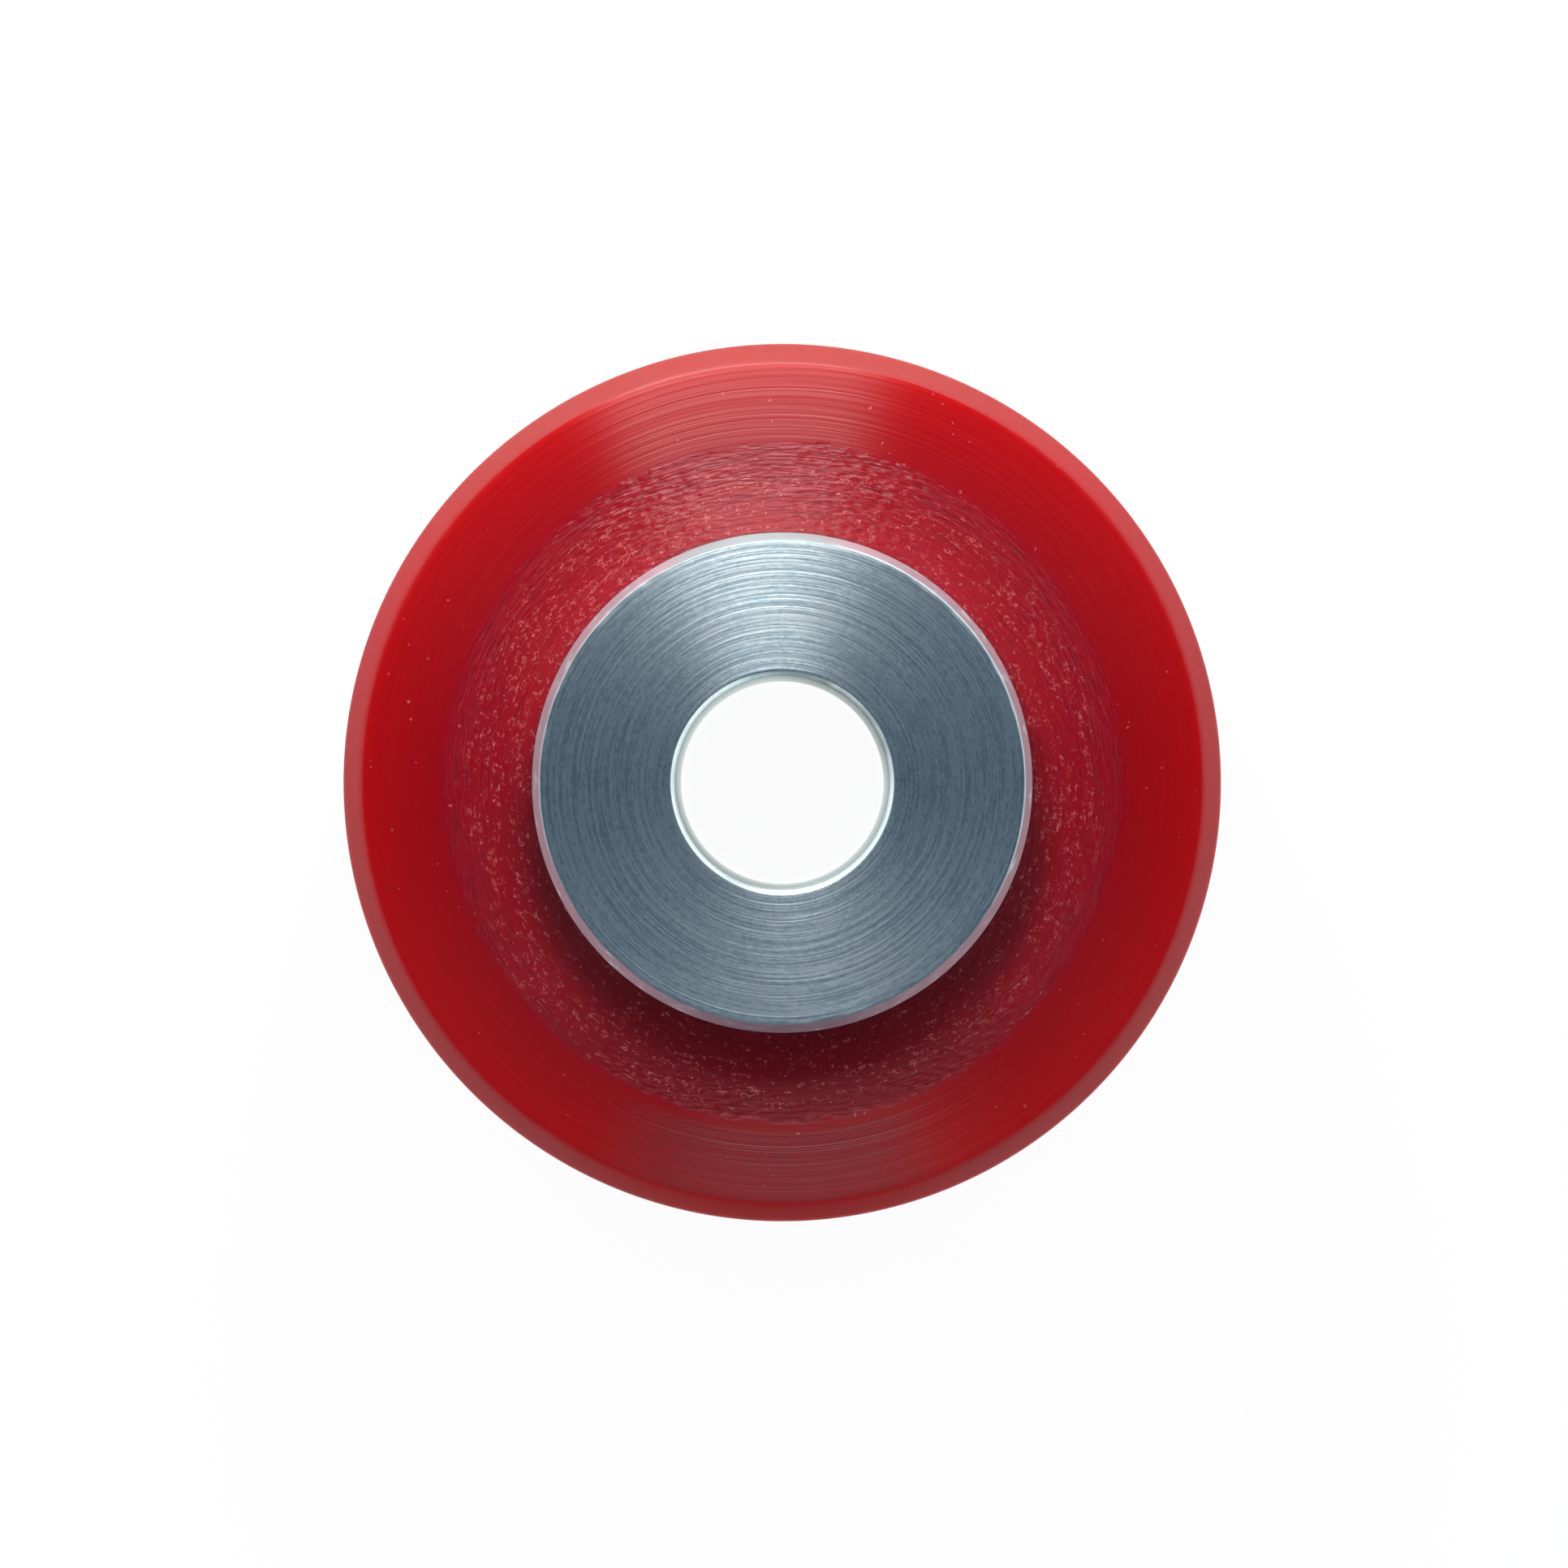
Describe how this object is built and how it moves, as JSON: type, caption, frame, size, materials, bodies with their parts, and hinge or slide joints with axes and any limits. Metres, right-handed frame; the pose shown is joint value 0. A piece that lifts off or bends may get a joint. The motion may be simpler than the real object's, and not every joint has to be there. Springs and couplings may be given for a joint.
{
  "type": "rubber roller",
  "caption": "Red rubber-tyred roller with a bored aluminium hub standing proud at both ends, to turn on a fixed pin in mooring gear.",
  "frame": {"origin": "middle of the lower hub face, on the roller's axis", "axes": "+Z along the bore axis, from the end that the roller stands on to its other end"},
  "size_m": [0.05, 0.05, 0.05],
  "materials": {
    "red_rubber": "satin, turned, slightly translucent, torn by the tool next to the hub",
    "turned_aluminium": "fine concentric tool marks"
  },
  "bodies": {
    "root": {"aluminium_hub": "turned_aluminium", "rubber_tyre": "red_rubber"}
  },
  "joints": []
}
